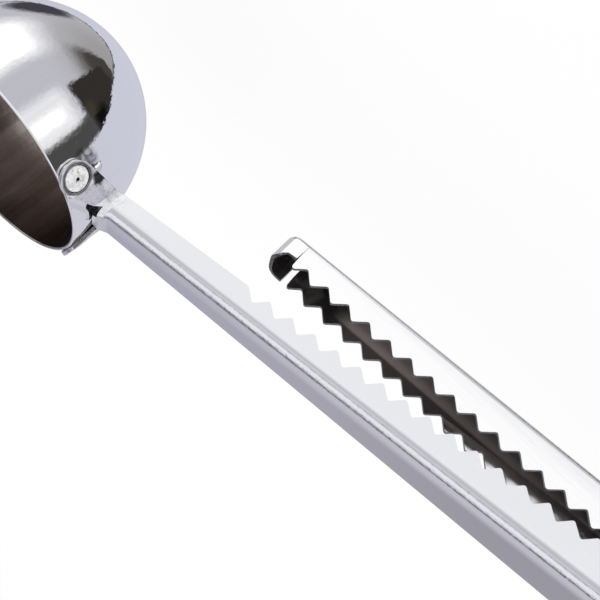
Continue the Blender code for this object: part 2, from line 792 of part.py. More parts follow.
def main():
    for obj in list(bpy.data.objects):
        bpy.data.objects.remove(obj)
    polished = steel("polished_stainless", (0.72, 0.72, 0.74), 0.12)
    handle_steel = steel("handle_stainless", (0.70, 0.70, 0.72), 0.16)
    jaw_steel = steel("jaw_stainless", (0.71, 0.71, 0.73), 0.15)
    wire_steel = steel("spring_wire", (0.55, 0.55, 0.57), 0.28)
    pin_steel = steel("pin_steel", (0.62, 0.62, 0.64), 0.22)
    weld_steel = steel("weld_metal", (0.80, 0.80, 0.79), 0.35)

    parts = bpy.data.collections.new("coffee_scoop")
    cutters = bpy.data.collections.new("cutters")
    bpy.context.scene.collection.children.link(parts)
    bpy.context.scene.collection.children.link(cutters)

    handle = make_handle(handle_steel)
    jaw = make_jaw(jaw_steel)
    px, pz = pivot()
    reach = handle_half(px) * 2
    pin_cutter = make_cutter(
        "pin_hole_cutter", PIN_RADIUS + CLEAR, -reach, reach, 32, lambda x, y, z: (px + x, z, pz + y)
    )
    weld_cutters = [
        make_cutter(name, WELD_RADIUS + WELD_GAP, EAR_GAP / 2, EAR_GAP + SHEET * 3, 28, weld_place(side))
        for name, side in (("weld_hole_cutter_a", 1), ("weld_hole_cutter_b", -1))
    ]
    for cutter in [pin_cutter] + weld_cutters:
        cutters.objects.link(cutter)
        drill(handle, cutter)
    drill(jaw, pin_cutter)
    pieces = [
        make_bowl(polished), handle, jaw, make_pin(pin_steel), make_spring(wire_steel),
        make_weld("weld_spot_a", 1, weld_steel), make_weld("weld_spot_b", -1, weld_steel),
    ]
    for obj in pieces:
        parts.objects.link(obj)

    low = min(v.co.z for obj in pieces for v in obj.data.vertices)
    left = min(v.co.x for obj in pieces for v in obj.data.vertices)
    right = max(v.co.x for obj in pieces for v in obj.data.vertices)
    home = Vector((-(left + right) / 2, 0, -low))
    turning = Vector((px, 0, pz)) * MM
    move_origin(jaw, turning)
    for obj in pieces + [pin_cutter] + weld_cutters:
        obj.location += home
    print("frame shift, mm:", [round(c / MM, 4) for c in home])
    print("pivot, mm:", [round(c / MM, 4) for c in (turning + home)])


main()
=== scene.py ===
"""A stainless steel coffee scoop whose long handle is also a sprung clip for the bag.

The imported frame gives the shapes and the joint. This file makes the finished pieces, their
metals and a plain white studio.
"""

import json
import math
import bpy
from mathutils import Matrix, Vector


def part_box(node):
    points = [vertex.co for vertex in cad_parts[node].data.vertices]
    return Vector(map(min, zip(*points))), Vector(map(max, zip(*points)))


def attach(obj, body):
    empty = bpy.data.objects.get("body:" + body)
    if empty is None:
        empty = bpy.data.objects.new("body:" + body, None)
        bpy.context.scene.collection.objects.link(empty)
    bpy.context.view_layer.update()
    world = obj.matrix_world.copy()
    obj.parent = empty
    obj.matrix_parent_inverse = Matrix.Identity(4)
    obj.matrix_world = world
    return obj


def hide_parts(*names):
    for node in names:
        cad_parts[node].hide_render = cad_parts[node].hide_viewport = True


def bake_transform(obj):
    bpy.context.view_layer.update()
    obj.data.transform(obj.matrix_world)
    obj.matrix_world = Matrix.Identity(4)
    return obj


bl_info = {
    "name": "Coffee scoop with a clip handle",
    "version": (1, 0, 0),
    "blender": (4, 5, 0),
    "location": "View3D > Sidebar > Scoop",
    "description": "Finishes a coffee scoop, its toothed clip and its spring",
    "category": "Add Mesh",
}

import bmesh
import bpy
from mathutils import Matrix, Vector
from mathutils.bvhtree import BVHTree

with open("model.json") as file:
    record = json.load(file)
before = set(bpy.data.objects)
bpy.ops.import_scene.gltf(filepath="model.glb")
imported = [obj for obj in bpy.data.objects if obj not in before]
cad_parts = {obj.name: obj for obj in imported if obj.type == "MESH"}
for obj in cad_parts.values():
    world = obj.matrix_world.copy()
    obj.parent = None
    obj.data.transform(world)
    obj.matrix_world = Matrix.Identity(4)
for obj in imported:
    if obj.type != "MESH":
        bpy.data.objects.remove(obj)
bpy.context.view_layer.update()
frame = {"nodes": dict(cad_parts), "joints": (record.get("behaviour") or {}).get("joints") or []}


def box_middle(node):
    low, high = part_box(node)
    return (low + high) / 2


MM = 0.001
PIVOT = Vector(frame["joints"][0]["pos_m"])
BOWL_LOW, BOWL_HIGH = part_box("bowl")
BOWL_CENTRE = Vector(((BOWL_LOW.x + BOWL_HIGH.x) / 2, 0, BOWL_HIGH.z))
BOWL_R = (BOWL_HIGH.x - BOWL_LOW.x) / 2
WELD = box_middle("weld_spot_a")

# From the weld to the middle of the painted dark reflection beside the ear, and to the painted shade in
# the fold on the arm
EAR_REFLECTION_SPOT = Vector((-1.1, 0.8, -3.1)) * MM
FOLD_SHADE = Vector((1.4, -2.0, -3.7)) * MM
# From the middle of the bowl's mouth to the middle of the ball that the ears are stretched round
EAR_DROP = Vector((0, 0, -4)) * MM
# From the weld to both ends of the arm that joins the ear to the handle
ARM_START = 1.3 * MM
ARM_END = 4.6 * MM
# How far the springback leans a side's shading out
SPRINGBACK = 0.11
# The same beside the handle's bend
HANDLE_LEAN = 0.45
# The handle's half width at the frame's origin, and how much it grows along X
HANDLE_HALF = 5.04 * MM
HANDLE_SPREAD = 0.0325
# Square to each channel's web
HANDLE_UP = (0.0919, 0, 0.9958)
JAW_UP = (0.0576, 0, 0.9983)
# The jaw's nose wrap ends between these X, farther out than its bends
WRAP_END = (-22.5 * MM, -22.1 * MM)
WRAP_BENDS = 2.5 * MM
# X of the jaw's side end, which that wrap is pressed on to
SIDE_END = -21.98 * MM
# More than the gap in a fold of the strip, and more than the sheet's thickness
FOLD_GAP = 1.2 * MM
SHEET_DEPTH = 1.1 * MM
# Heights over the bowl's wall of the weld's foot and of its face
WELD_FOOT = 0.2 * MM
WELD_FACE = 0.8 * MM
# Facets round the spring's wire, and along one turn of its coil
WIRE_SIDES = 14
TURN_STEPS = 34

# Settings that many nodes share
SMOOTH = {"interpolation_type": "SMOOTHSTEP"}
COLOUR = {"data_type": "RGBA"}


def weld_place(node, height):
    """The point so high over the bowl's wall in the middle of the weld, and the way out."""
    middle = box_middle(node)
    out = Vector((middle.x - BOWL_CENTRE.x, middle.y, 0)).normalized()
    place = BOWL_CENTRE + out * (BOWL_R + height)
    place.z = middle.z
    return place, out


def channel_value(value):
    return value / 12.92 if value <= 0.04045 else ((value + 0.055) / 1.055) ** 2.4


def linear(hex_colour):
    """Linear colour of an sRGB hex value."""
    digits = hex_colour.lstrip("#")
    return tuple(channel_value(int(digits[i : i + 2], 16) / 255) for i in (0, 2, 4))


def per_mm(size):
    """Texture scale whose pattern repeats about every size millimetres."""
    return 1 / (size * MM)


def folded(point):
    """The point's absolute values. Both sides of the scoop fold on to the same ones."""
    return tuple(abs(value) for value in point)


def feed(tree, target, value):
    """Gives an input a value or a hex colour, or links a socket or a node's first open output."""
    if isinstance(value, bpy.types.Node):
        value = next(socket for socket in value.outputs if socket.enabled)
    if isinstance(value, bpy.types.NodeSocket):
        tree.links.new(value, target)
    elif isinstance(value, str):
        target.default_value = (*linear(value), 1)
    elif value is not None:
        target.default_value = value


def add_node(tree, kind, *values, named=None, **settings):
    """A node with its settings, whose open inputs take the values in turn. None skips one."""
    node = tree.nodes.new(kind)
    for key, value in settings.items():
        setattr(node, key, value)
    opened = [socket for socket in node.inputs if socket.enabled]
    for target, value in zip(opened, values):
        feed(tree, target, value)
    for key, value in (named or {}).items():
        feed(tree, node.inputs[key], value)
    return node


def toned(tree, value, start, stop, first, second, share=1.0):
    """A colour that goes from first to second as value goes from start to stop.

    With a share under 1 it goes only that far.
    """
    part = add_node(tree, "ShaderNodeMapRange", value, start, stop, 0.0, share, **SMOOTH)
    return add_node(tree, "ShaderNodeMix", part, first, second, **COLOUR)


def band(tree, value, start, stop, soft):
    """1 where value is between start and stop, with edges soft wide."""
    rise = add_node(tree, "ShaderNodeMapRange", value, start - soft, start + soft, **SMOOTH)
    fall = add_node(tree, "ShaderNodeMapRange", value, stop + soft, stop - soft, **SMOOTH)
    return add_node(tree, "ShaderNodeMath", rise, fall, operation="MULTIPLY")


def new_surface(name, roughness, metallic=1.0):
    """A material with the default index of refraction, and its tree and shader."""
    material = bpy.data.materials.new(name)
    material.use_nodes = True
    tree = material.node_tree
    shader = tree.nodes["Principled BSDF"]
    shader.inputs["Metallic"].default_value = metallic
    shader.inputs["Roughness"].default_value = roughness
    return material, tree, shader


def finish_surface(tree, shader, colour, heights, rough=None, normal=None):
    """Gives the shader its colour and roughness, and stacks (height, depth in mm) as bumps."""
    feed(tree, shader.inputs["Base Color"], colour)
    feed(tree, shader.inputs["Roughness"], rough)
    for height, depth in heights:
        values = {"Height": height, "Distance": depth * MM, "Normal": normal}
        normal = add_node(tree, "ShaderNodeBump", named=values)
    feed(tree, shader.inputs["Normal"], normal)


def drawn_bowl_steel(settings):
    """Stainless steel sheet, deep drawn and buffed to a mirror outside.

    The buff leaves faint streaks from rim to pole, a soft waviness and a few pits. Inside, the
    press leaves a darker, duller face. Real streaks are too fine to show, so they are drawn
    0.55 mm wide.
    """
    material, tree, shader = new_surface("buffed_stainless_bowl", 0.1)
    place = add_node(tree, "ShaderNodeTexCoord").outputs["Object"]
    centred = add_node(tree, "ShaderNodeMapping", place, tuple(-BOWL_CENTRE))
    x, y, z = add_node(tree, "ShaderNodeSeparateXYZ", centred).outputs
    flat = add_node(tree, "ShaderNodeCombineXYZ", x, y)
    radius = add_node(tree, "ShaderNodeVectorMath", flat, operation="LENGTH")
    ring = add_node(tree, "ShaderNodeVectorMath", flat, operation="NORMALIZE")
    ring = add_node(tree, "ShaderNodeVectorMath", ring, BOWL_R, operation="SCALE")
    along = add_node(tree, "ShaderNodeMath", z, 0.06, operation="MULTIPLY")
    along = add_node(tree, "ShaderNodeCombineXYZ", None, None, along)
    drawn_out = add_node(tree, "ShaderNodeVectorMath", ring, along, operation="ADD")
    streaks = add_node(tree, "ShaderNodeTexNoise", drawn_out, per_mm(0.55), 4.0, 0.7)
    waves = add_node(tree, "ShaderNodeTexNoise", centred, per_mm(9.0), 1.0)
    peel = add_node(tree, "ShaderNodeTexNoise", centred, per_mm(0.9), 1.0)
    pits = add_node(tree, "ShaderNodeTexNoise", centred, per_mm(0.7), 4.0, 0.75)
    pits = add_node(tree, "ShaderNodeMapRange", pits, 0.70, 0.73, **SMOOTH)

    # Inside the wall: nearer the axis and the middle than the sheet's mid surface
    deep = add_node(tree, "ShaderNodeMath", z, settings.straight, operation="ADD")
    deep = add_node(tree, "ShaderNodeMath", deep, 0.0, operation="MINIMUM")
    deep = add_node(tree, "ShaderNodeMath", deep, BOWL_R / settings.dome, operation="MULTIPLY")
    reach = add_node(tree, "ShaderNodeCombineXYZ", radius, deep)
    reach = add_node(tree, "ShaderNodeVectorMath", reach, operation="LENGTH")
    outermost = BOWL_R - settings.wall / 2 + 0.1 * MM
    innermost = outermost - 0.25 * MM
    inside = add_node(tree, "ShaderNodeMapRange", reach, outermost, innermost, **SMOOTH)

    outer = toned(tree, streaks, 0.35, 0.65, "#F3F3F5", "#F5F5F7")
    outer = add_node(tree, "ShaderNodeMix", pits, outer, "#8C8886", **COLOUR)
    # A painted dark reflection of the ear's shaded gap, on the bowl beside each ear
    mirrored = add_node(tree, "ShaderNodeVectorMath", place, operation="ABSOLUTE")
    ear_reflection = add_node(tree, "ShaderNodeVectorMath", mirrored, folded(WELD + EAR_REFLECTION_SPOT), operation="DISTANCE")
    ear_reflection = add_node(tree, "ShaderNodeMapRange", ear_reflection, 2.9 * MM, 1.4 * MM, **SMOOTH)
    patchy = add_node(tree, "ShaderNodeMapRange", peel, 0.3, 0.65, 0.4, 1.0, **SMOOTH)
    ear_reflection = add_node(tree, "ShaderNodeMath", ear_reflection, patchy, operation="MULTIPLY")
    # The bowl takes the painted dark reflection here
    outer = add_node(tree, "ShaderNodeMix", ear_reflection, outer, "#7E7D7F", **COLOUR)
    # The press marks fade near the pole, where they would meet in a star
    stain = add_node(tree, "ShaderNodeTexNoise", drawn_out, per_mm(8.0), 5.0, 0.65)
    spread = add_node(tree, "ShaderNodeMapRange", radius, 4 * MM, 15 * MM, **SMOOTH)
    stain = add_node(tree, "ShaderNodeMix", spread, 0.5, stain)
    inner = toned(tree, stain, 0.35, 0.65, "#81776F", "#B8AEA9")
    base = add_node(tree, "ShaderNodeMix", inside, outer, inner, **COLOUR)
    gloss = add_node(tree, "ShaderNodeMapRange", streaks, 0.3, 0.7, 0.04, 0.05, **SMOOTH)
    rough = add_node(tree, "ShaderNodeMix", inside, gloss, 0.22)
    heights = [(waves, 0.04), (streaks, 0.0005), (peel, 0.014), (pits, -0.004)]
    finish_surface(tree, shader, base, heights, rough)
    return material


def web_painted_reflection(tree, x, y):
    """Painted reflection on the web's polish: a paler strip beside the bend, and painted shade that
    darkens it towards the tail.
    """
    half = add_node(tree, "ShaderNodeMath", x, HANDLE_SPREAD, HANDLE_HALF, operation="MULTIPLY_ADD")
    inside = add_node(tree, "ShaderNodeMath", half, y, operation="SUBTRACT")
    tone = toned(tree, x, -45 * MM, 35 * MM, "#EDEDF1", "#B4B4B9")
    pale = toned(tree, x, -45 * MM, 35 * MM, "#FFFFFF", "#E6E6EA")
    return toned(tree, inside, 4.4 * MM, 1.7 * MM, tone, pale)


def strip_steel(name, colour, seed, bend_lean):
    """Stainless strip, bent on a press and lightly polished along its length.

    The rolling leaves fine lines along the strip, the die's corner a grainy bend, and the press
    a mottled patch where the sheet was stretched round the bowl. Real rolling lines are too
    fine to show, so they are drawn 0.3 mm wide.
    """
    material, tree, shader = new_surface(name, 0.1)
    coordinates = add_node(tree, "ShaderNodeTexCoord")
    place = coordinates.outputs["Object"]
    x, y = add_node(tree, "ShaderNodeSeparateXYZ", place).outputs[:2]
    across, upward = add_node(tree, "ShaderNodeSeparateXYZ", coordinates.outputs["Normal"]).outputs[1:]
    sideways = add_node(tree, "ShaderNodeMath", across, operation="ABSOLUTE")
    drawn_out = add_node(tree, "ShaderNodeMapping", place, (seed, 0, 0), None, (0.03, 1, 1))
    grain = add_node(tree, "ShaderNodeTexNoise", drawn_out, per_mm(0.3), 3.0, 0.6)
    bloom = add_node(tree, "ShaderNodeTexNoise", place, per_mm(7.0), 4.0, 0.6)
    # Widest where the face is half way round the bend
    bend = add_node(tree, "ShaderNodeMath", across, upward, operation="MULTIPLY")
    bend = add_node(tree, "ShaderNodeMath", bend, operation="ABSOLUTE")
    bend = add_node(tree, "ShaderNodeMapRange", bend, 0.15, 0.4, **SMOOTH)
    die = add_node(tree, "ShaderNodeTexNoise", place, per_mm(0.5), 2.0)
    die = add_node(tree, "ShaderNodeMath", die, bend, operation="MULTIPLY")
    ball = tuple(BOWL_CENTRE + EAR_DROP)
    near = add_node(tree, "ShaderNodeVectorMath", place, ball, operation="DISTANCE")
    near = add_node(tree, "ShaderNodeMapRange", near, BOWL_R + 5 * MM, BOWL_R + 1.2 * MM, **SMOOTH)
    crumple = add_node(tree, "ShaderNodeTexNoise", place, per_mm(0.8), 4.0, 0.65)
    mottle = add_node(tree, "ShaderNodeMath", crumple, near, operation="MULTIPLY")

    # Painted shade: a dark ring in the groove round the weld, and a dark patch in the fold behind it
    mirrored = add_node(tree, "ShaderNodeVectorMath", place, operation="ABSOLUTE")
    ring = add_node(tree, "ShaderNodeVectorMath", mirrored, folded(WELD), operation="DISTANCE")
    ring = band(tree, ring, 2.4 * MM, 2.95 * MM, 0.25 * MM)
    ring = add_node(tree, "ShaderNodeMath", ring, 0.85, operation="MULTIPLY")
    fold_shade = add_node(tree, "ShaderNodeVectorMath", mirrored, folded(WELD + FOLD_SHADE), operation="DISTANCE")
    fold_shade = add_node(tree, "ShaderNodeMath", crumple, 2.4 * MM, fold_shade, operation="MULTIPLY_ADD")
    fold_shade = add_node(tree, "ShaderNodeMapRange", fold_shade, 2.9 * MM, 2.1 * MM, **SMOOTH)
    painted_shade = add_node(tree, "ShaderNodeMath", ring, fold_shade, operation="MAXIMUM")
    blotch = add_node(tree, "ShaderNodeMapRange", crumple, 0.5, 0.66, 0.0, 0.5, **SMOOTH)
    blotch = add_node(tree, "ShaderNodeMath", blotch, near, operation="MULTIPLY")
    base = add_node(tree, "ShaderNodeMix", blotch, colour, "#A9A7AC", **COLOUR)
    # The painted shade darkens the ring and the fold
    base = add_node(tree, "ShaderNodeMix", painted_shade, base, "#3A3638", **COLOUR)
    # The handle's web faces take the painted reflection and shade
    if bend_lean:
        base = toned(tree, upward, 0.9, 0.985, base, web_painted_reflection(tree, x, y))
    rough = add_node(tree, "ShaderNodeMapRange", grain, 0.3, 0.7, 0.08, 0.13, **SMOOTH)
    rough = add_node(tree, "ShaderNodeMath", near, 0.12, rough, operation="MULTIPLY_ADD")

    # The bend springs back, so the sides lean out a little, more so beside the handle's bend
    lean = add_node(tree, "ShaderNodeMapRange", sideways, 0.9, 0.99, 0.0, SPRINGBACK, **SMOOTH)
    if bend_lean:
        level = add_node(tree, "ShaderNodeVectorMath", place, HANDLE_UP, operation="DOT_PRODUCT")
        more = (25.2 * MM, 26.9 * MM, 0.0, bend_lean)
        more = add_node(tree, "ShaderNodeMapRange", level, *more, **SMOOTH)
        lean = add_node(tree, "ShaderNodeMath", lean, more, operation="ADD")
    # The arm's fold is soft, so it shades like the side
    arm = band(tree, x, WELD.x + ARM_START, WELD.x + ARM_END, 0.2 * MM)
    outward = add_node(tree, "ShaderNodeMapRange", sideways, 0.3, 0.4, 0.0, 6.0, **SMOOTH)
    pull = add_node(tree, "ShaderNodeMath", arm, outward, operation="MULTIPLY")
    side = add_node(tree, "ShaderNodeMath", across, operation="SIGN")
    pull = add_node(tree, "ShaderNodeMath", pull, side, operation="MULTIPLY")
    lean = add_node(tree, "ShaderNodeCombineXYZ", None, pull, lean)
    normal = add_node(tree, "ShaderNodeNewGeometry").outputs["Normal"]
    normal = add_node(tree, "ShaderNodeVectorMath", normal, lean, operation="ADD")
    normal = add_node(tree, "ShaderNodeVectorMath", normal, operation="NORMALIZE")
    heights = [(bloom, 0.002), (grain, 0.0006), (die, 0.05), (mottle, 0.035)]
    finish_surface(tree, shader, base, heights, rough, normal)
    return material


def sheared_steel():
    """The strip's cut edges, torn by the shear: greyer and duller than its faces.

    Real tearing is too fine to show, so it is drawn 0.35 mm wide.
    """
    material, tree, shader = new_surface("sheared_stainless_edge", 0.34)
    place = add_node(tree, "ShaderNodeTexCoord").outputs["Object"]
    tear = add_node(tree, "ShaderNodeTexNoise", place, per_mm(0.35), 2.0)
    base = toned(tree, tear, 0.35, 0.65, "#8A8888", "#5E5C5D")
    finish_surface(tree, shader, base, [(tear, 0.01)])
    return material


def inner_strip_steel():
    """The inner face of the bent strip, left as the mill rolled it: browner and duller.

    It mirrors little of the studio, so its light and shade are painted on its brown: a painted
    highlight along the floor's bends, painted shade on the side walls, and painted shade at the nose
    and deep in the throat.
    """
    material, tree, shader = new_surface("mill_finish_stainless_painted_light", 0.26, 0.3)
    coordinates = add_node(tree, "ShaderNodeTexCoord")
    place = coordinates.outputs["Object"]
    x = add_node(tree, "ShaderNodeSeparateXYZ", place).outputs[0]
    across = add_node(tree, "ShaderNodeSeparateXYZ", coordinates.outputs["Normal"]).outputs[1]
    sideways = add_node(tree, "ShaderNodeMath", across, operation="ABSOLUTE")
    stain = add_node(tree, "ShaderNodeTexNoise", place, per_mm(4.0), 4.0, 0.6)
    floor = toned(tree, stain, 0.35, 0.7, "#D0C8C4", "#E2DAD6")
    # Painted light and shade on the side walls, which changes with their height over the web
    level = add_node(tree, "ShaderNodeVectorMath", place, JAW_UP, operation="DOT_PRODUCT")
    wall = toned(tree, level, 11.4 * MM, 13.2 * MM, "#928A87", "#B9AEAB")
    wall = toned(tree, level, 13.4 * MM, 14.1 * MM, wall, "#605A58")
    # The side walls take the painted shade, the floor its stain
    base = toned(tree, sideways, 0.5, 0.95, floor, wall)
    # Painted highlight along the floor's bends
    bend = band(tree, sideways, 0.2, 0.85, 0.12)
    base = add_node(tree, "ShaderNodeMix", bend, base, "#FFFAF6", **COLOUR)

    # Painted shade: darkest at the nose, a little darker from the middle towards the pivot, and almost
    # black deep in the throat
    nose_shade = toned(tree, stain, 0.5, 0.64, "#363333", "#5C5958")
    base = toned(tree, x, -8 * MM, -13 * MM, base, nose_shade)
    base = toned(tree, x, -4 * MM, 20 * MM, base, "#1B191A", 0.3)
    base = toned(tree, x, 42 * MM, 52 * MM, base, "#0F0D0C", 0.9)
    finish_surface(tree, shader, base, [(stain, 0.004)])
    return material


def weld_steel():
    """A spot weld's squeezed face: pale, pitted and matt, with a tiny dark crater in the middle.

    Its burnt face is partly oxide, so it isn't a pure metal.
    """
    material, tree, shader = new_surface("spot_weld_face", 0.34, 0.2)
    place = add_node(tree, "ShaderNodeTexCoord").outputs["Object"]
    melt = add_node(tree, "ShaderNodeTexNoise", place, per_mm(0.9), 4.0, 0.6)
    pits = add_node(tree, "ShaderNodeTexNoise", place, per_mm(0.4), 2.0)
    pits = add_node(tree, "ShaderNodeMapRange", pits, 0.62, 0.70, **SMOOTH)
    base = toned(tree, melt, 0.4, 0.68, "#FFFEFE", "#C9C6C6")
    base = add_node(tree, "ShaderNodeMix", pits, base, "#8E8A89", **COLOUR)
    mirrored = add_node(tree, "ShaderNodeVectorMath", place, operation="ABSOLUTE")
    crater = folded(weld_place("weld_spot_a", WELD_FACE)[0])
    hole = add_node(tree, "ShaderNodeVectorMath", mirrored, crater, operation="DISTANCE")
    base = toned(tree, hole, 0.44 * MM, 0.36 * MM, base, "#231F1E")
    rough = add_node(tree, "ShaderNodeMapRange", melt, 0.3, 0.7, 0.25, 0.4, **SMOOTH)
    finish_surface(tree, shader, base, [(melt, 0.03), (pits, -0.012)], rough)
    return material


def turned_steel():
    """The rivet's steel, turned and then closed with a punch: fine rings on its heads."""
    material, tree, shader = new_surface("turned_steel_rivet", 0.2)
    place = add_node(tree, "ShaderNodeTexCoord").outputs["Object"]
    centred = add_node(tree, "ShaderNodeMapping", place, tuple(-PIVOT))
    turning = {"wave_type": "RINGS", "rings_direction": "Y"}
    rings = add_node(tree, "ShaderNodeTexWave", centred, per_mm(2.4), 0.6, 2.0, **turning)
    rings = rings.outputs["Fac"]
    wear = add_node(tree, "ShaderNodeTexNoise", centred, per_mm(1.2), 4.0)
    base = toned(tree, wear, 0.4, 0.7, "#CFCFD2", "#A4A3A6")
    finish_surface(tree, shader, base, [(rings, 0.003), (wear, 0.01)])
    return material


def spring_steel():
    """Hard drawn spring wire, slightly darker than the sheet, with drawing lines.

    Real drawing lines are too fine to show, so they are drawn 0.25 mm wide.
    """
    material, tree, shader = new_surface("drawn_spring_wire", 0.26)
    place = add_node(tree, "ShaderNodeTexCoord").outputs["Object"]
    lines = add_node(tree, "ShaderNodeTexNoise", place, per_mm(0.25), 3.0)
    base = toned(tree, lines, 0.35, 0.65, "#A9A7A8", "#84817F")
    finish_surface(tree, shader, base, [(lines, 0.004)])
    return material


def geometry_tree(name, inputs):
    """An empty geometry tree with its geometry in and out and the named inputs."""
    tree = bpy.data.node_groups.new(name, "GeometryNodeTree")
    tree.interface.new_socket("Geometry", in_out="INPUT", socket_type="NodeSocketGeometry")
    tree.interface.new_socket("Geometry", in_out="OUTPUT", socket_type="NodeSocketGeometry")
    for label, kind in inputs:
        tree.interface.new_socket(label, in_out="INPUT", socket_type="NodeSocket" + kind)
    return tree, tree.nodes.new("NodeGroupInput"), tree.nodes.new("NodeGroupOutput")


def end_tree(tree, source, leave, material):
    """Realize Instances and Set Material at the tree's end."""
    real = add_node(tree, "GeometryNodeRealizeInstances", source)
    painted = add_node(tree, "GeometryNodeSetMaterial", real, None, material)
    feed(tree, leave.inputs[0], painted)


def revolve_tree():
    """Turns a profile of (radius, 0, height) points about Z into a closed shell."""
    tree, enter, leave = geometry_tree("turn_profile", [("Sides", "Int"), ("Material", "Material")])
    profile = enter.outputs["Geometry"]
    sides = enter.outputs["Sides"]
    count = add_node(tree, "GeometryNodeAttributeDomainSize", profile)
    rows = add_node(tree, "ShaderNodeMath", sides, 1, operation="ADD")
    grid = add_node(tree, "GeometryNodeMeshGrid", None, None, count, rows)
    # The grid counts its points column by column
    index = add_node(tree, "GeometryNodeInputIndex")
    column = add_node(tree, "ShaderNodeMath", index, 0.5, operation="ADD")
    column = add_node(tree, "ShaderNodeMath", column, rows, operation="DIVIDE")
    column = add_node(tree, "ShaderNodeMath", column, operation="FLOOR")
    passed = add_node(tree, "ShaderNodeMath", column, rows, operation="MULTIPLY")
    row = add_node(tree, "ShaderNodeMath", index, passed, operation="SUBTRACT")
    turn = add_node(tree, "ShaderNodeMath", row, sides, operation="DIVIDE")
    turn = add_node(tree, "ShaderNodeMath", turn, 2 * math.pi, operation="MULTIPLY")
    place = add_node(tree, "GeometryNodeInputPosition")
    points = {"data_type": "FLOAT_VECTOR", "domain": "POINT"}
    picked = add_node(tree, "GeometryNodeSampleIndex", profile, place, column, **points)
    spun = add_node(tree, "ShaderNodeVectorRotate", picked, None, turn, rotation_type="Z_AXIS")
    shell = add_node(tree, "GeometryNodeSetPosition", grid, None, spun)
    shell = add_node(tree, "GeometryNodeMergeByDistance", shell, None, 0.001 * MM)
    shell = add_node(tree, "GeometryNodeSetShadeSmooth", shell)
    end_tree(tree, shell, leave, enter.outputs["Material"])
    return tree


def coil_tree():
    """A torsion spring's wire: a straight leg, a coil about Z and a second leg."""
    lengths = ("Wire radius", "Coil radius", "Leg length", "Coil length", "First angle", "Last angle")
    inputs = [(name, "Float") for name in lengths] + [("Steps", "Int"), ("Material", "Material")]
    tree, enter, leave = geometry_tree("torsion_coil", inputs)
    steps = enter.outputs["Steps"]
    first = enter.outputs["First angle"]
    count = add_node(tree, "ShaderNodeMath", steps, 3, operation="ADD")
    line = add_node(tree, "GeometryNodeMeshLine", count)
    index = add_node(tree, "GeometryNodeInputIndex")
    share = add_node(tree, "ShaderNodeMath", index, 1, operation="SUBTRACT")
    share = add_node(tree, "ShaderNodeMath", share, steps, operation="DIVIDE")
    share = add_node(tree, "ShaderNodeClamp", share)
    sweep = add_node(tree, "ShaderNodeMath", enter.outputs["Last angle"], first, operation="SUBTRACT")
    angle = add_node(tree, "ShaderNodeMath", share, sweep, first, operation="MULTIPLY_ADD")
    # The legs leave along the coil's tangent, backwards at its start
    before = add_node(tree, "ShaderNodeMath", index, 0, operation="COMPARE")
    last = add_node(tree, "ShaderNodeMath", steps, 2, operation="ADD")
    after = add_node(tree, "ShaderNodeMath", index, last, operation="COMPARE")
    out = add_node(tree, "ShaderNodeMath", after, before, operation="SUBTRACT")
    out = add_node(tree, "ShaderNodeMath", out, enter.outputs["Leg length"], operation="MULTIPLY")
    rise = add_node(tree, "ShaderNodeMath", share, 0.5, operation="SUBTRACT")
    rise = add_node(tree, "ShaderNodeMath", rise, enter.outputs["Coil length"], operation="MULTIPLY")
    arm = add_node(tree, "ShaderNodeCombineXYZ", enter.outputs["Coil radius"], out, rise)
    point = add_node(tree, "ShaderNodeVectorRotate", arm, None, angle, rotation_type="Z_AXIS")
    path = add_node(tree, "GeometryNodeSetPosition", line, None, point)
    path = add_node(tree, "GeometryNodeMeshToCurve", path)
    ring = add_node(tree, "GeometryNodeCurvePrimitiveCircle", WIRE_SIDES, enter.outputs["Wire radius"])
    wire = add_node(tree, "GeometryNodeCurveToMesh", path, ring, named={"Fill Caps": True})
    wire = add_node(tree, "GeometryNodeSetShadeSmooth", wire)
    end_tree(tree, wire, leave, enter.outputs["Material"])
    return tree


def grown(name, start_mesh, tree, values):
    """The plain mesh object that the tree makes of start_mesh with the named input values."""
    obj = bpy.data.objects.new(name, start_mesh)
    bpy.context.scene.collection.objects.link(obj)
    modifier = obj.modifiers.new(tree.name, "NODES")
    modifier.node_group = tree
    for item in tree.interface.items_tree:
        if item.in_out == "INPUT" and item.name in values:
            modifier[item.identifier] = values[item.name]
    depsgraph = bpy.context.evaluated_depsgraph_get()
    mesh = bpy.data.meshes.new_from_object(obj.evaluated_get(depsgraph))
    obj.modifiers.remove(modifier)
    obj.data = mesh
    mesh.name = name
    bm = bmesh.new()
    bm.from_mesh(mesh)
    bmesh.ops.recalc_face_normals(bm, faces=bm.faces)
    bm.to_mesh(mesh)
    bm.free()
    return obj


def turned(name, points, sides, material, matrix, crease):
    """A body turned from (radius, height) points in millimetres, and put in place.

    Its edges sharper than crease degrees stay sharp.
    """
    profile = bpy.data.meshes.new(name)
    edges = [(i, i + 1) for i in range(len(points) - 1)]
    profile.from_pydata([(r * MM, 0, z * MM) for r, z in points], edges, [])
    tree = bpy.data.node_groups.get("turn_profile") or revolve_tree()
    obj = grown(name, profile, tree, {"Sides": sides, "Material": material})
    obj.data.transform(matrix)
    obj.data.set_sharp_from_angle(angle=math.radians(crease))
    return obj


def rounded_corner(points, corner, before, after, radius):
    """Adds an arc of radius at corner between the directions to before and after."""
    corner = Vector(corner)
    first = (Vector(before) - corner).normalized()
    second = (Vector(after) - corner).normalized()
    half = first.angle(second) / 2
    reach = radius / math.tan(half)
    middle = corner + (first + second).normalized() * (radius / math.sin(half))
    start = corner + first * reach - middle
    stop = corner + second * reach - middle
    steps = 5
    for k in range(steps + 1):
        share = k / steps
        arm = (start * (1 - share) + stop * share).normalized() * radius
        points.append(tuple(middle + arm))


